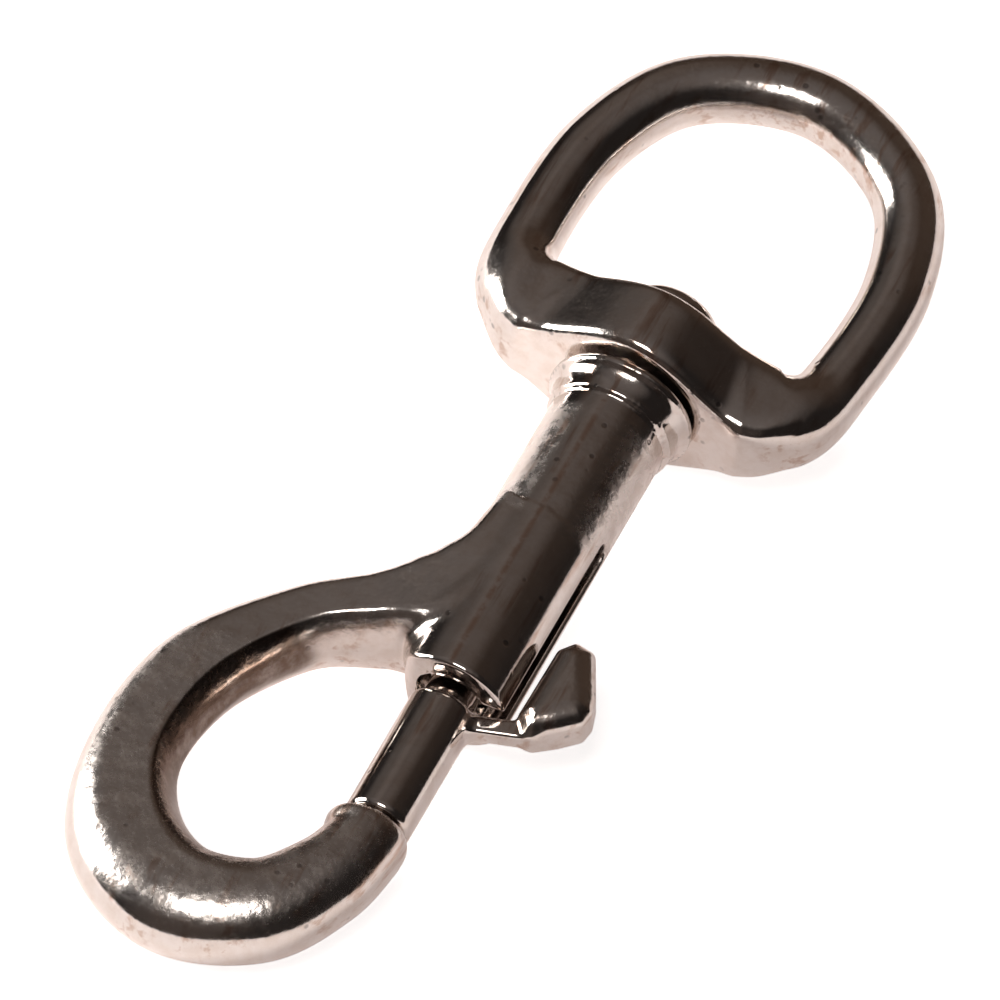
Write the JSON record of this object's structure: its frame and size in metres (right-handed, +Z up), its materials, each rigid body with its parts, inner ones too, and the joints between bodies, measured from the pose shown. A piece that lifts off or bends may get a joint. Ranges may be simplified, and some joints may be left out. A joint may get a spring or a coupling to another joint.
{
  "type": "swivel bolt snap",
  "caption": "Cast swivel bolt snap: hook with a spring-loaded sliding bolt and a rigid eye that turns on a peened post.",
  "frame": {"origin": "centre of the eye's opening, on the swivel axis", "axes": "+X along the swivel axis from the hook to the eye, +Y to the side of the hook's back, +Z up out of the hook's flat plane"},
  "size_m": [0.1019, 0.0415, 0.0147],
  "materials": {
    "body_plating": "bright nickel plating over zinc casting, speckled and lightly worn",
    "eye_plating": "bright nickel plating over zinc casting, lightly worn",
    "bolt_plating": "bright nickel plating over zinc casting",
    "spring_wire": "drawn spring wire"
  },
  "bodies": {
    "body": {"hook_body": "body_plating", "spring": "spring_wire"},
    "eye": {"swivel_eye": "eye_plating"},
    "bolt": {"spring_bolt": "bolt_plating"}
  },
  "joints": [
    {"name": "bolt_slide", "type": "slide", "parent": "body", "child": "bolt", "axis": [1, 0, 0], "range_m": [0, 0.0134], "stiffness_N_per_m": 150, "springref_m": -0.02, "deforming": ["spring"]},
    {"name": "eye_swivel", "type": "hinge", "parent": "body", "child": "eye", "pos_m": [-0.0155, 0, 0], "axis": [1, 0, 0], "continuous": true}
  ]
}
